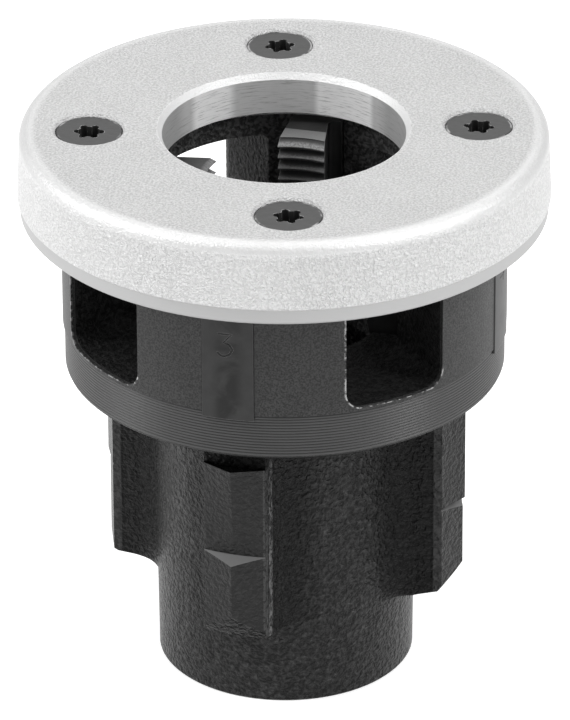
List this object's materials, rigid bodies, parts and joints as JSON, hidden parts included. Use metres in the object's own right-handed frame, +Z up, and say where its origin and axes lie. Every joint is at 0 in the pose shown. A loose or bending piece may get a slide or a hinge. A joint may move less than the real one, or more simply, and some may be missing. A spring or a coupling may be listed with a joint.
{
  "type": "pipe threading die head",
  "caption": "Round die head that cuts a taper thread on pipe: toothed chasers in a slotted drum under a screwed cover, with an octagon-lugged guide tube.",
  "frame": {"origin": "centre of the guide tube's mouth, at its lower face", "axes": "+Z up the pipe's axis towards the cover; -Y through chaser 3; +X through chaser 4"},
  "size_m": [0.0782, 0.0782, 0.0856],
  "materials": {
    "black_cast_body": "black oxide over a cast surface, turned on the drum and ring",
    "blasted_cover": "blasted casting with a turned bore and band",
    "tool_steel": "dark hardened steel",
    "black_screw": "black oxide, worn bright at the rim"
  },
  "bodies": {
    "root": {"die_head_body": "black_cast_body", "cover": "blasted_cover", "chaser_1": "tool_steel", "chaser_2": "tool_steel", "chaser_3": "tool_steel", "chaser_4": "tool_steel", "cover_screws": "black_screw"}
  },
  "joints": []
}
